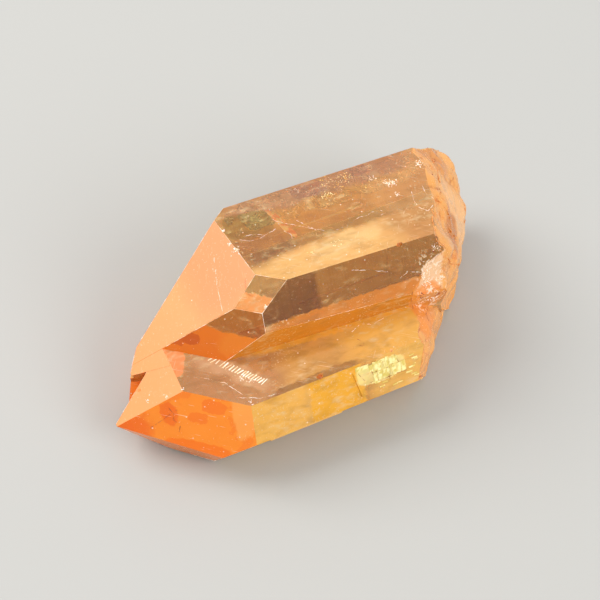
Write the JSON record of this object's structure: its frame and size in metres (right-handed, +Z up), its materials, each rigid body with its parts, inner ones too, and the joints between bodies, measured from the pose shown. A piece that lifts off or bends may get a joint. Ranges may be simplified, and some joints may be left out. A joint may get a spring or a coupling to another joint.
{
  "type": "lemurian quartz point",
  "caption": "Quartz point: a large and a small faceted prism grown parallel into one stone, closing to pointed tips at one end and snapped rough at the other.",
  "frame": {"origin": "centre of the bounding box's footprint, on the plane that the stone rests on", "axes": "-X points along the growth axis to the tips and +X to the broken root, -Y is the side of the small crystal, +Z is up"},
  "size_m": [0.079, 0.0412, 0.028],
  "materials": {
    "quartz": "clear iron-stained quartz, glossy growth faces, one frosted tip face, rough broken root"
  },
  "bodies": {
    "root": {"crystal": "quartz"}
  },
  "joints": []
}
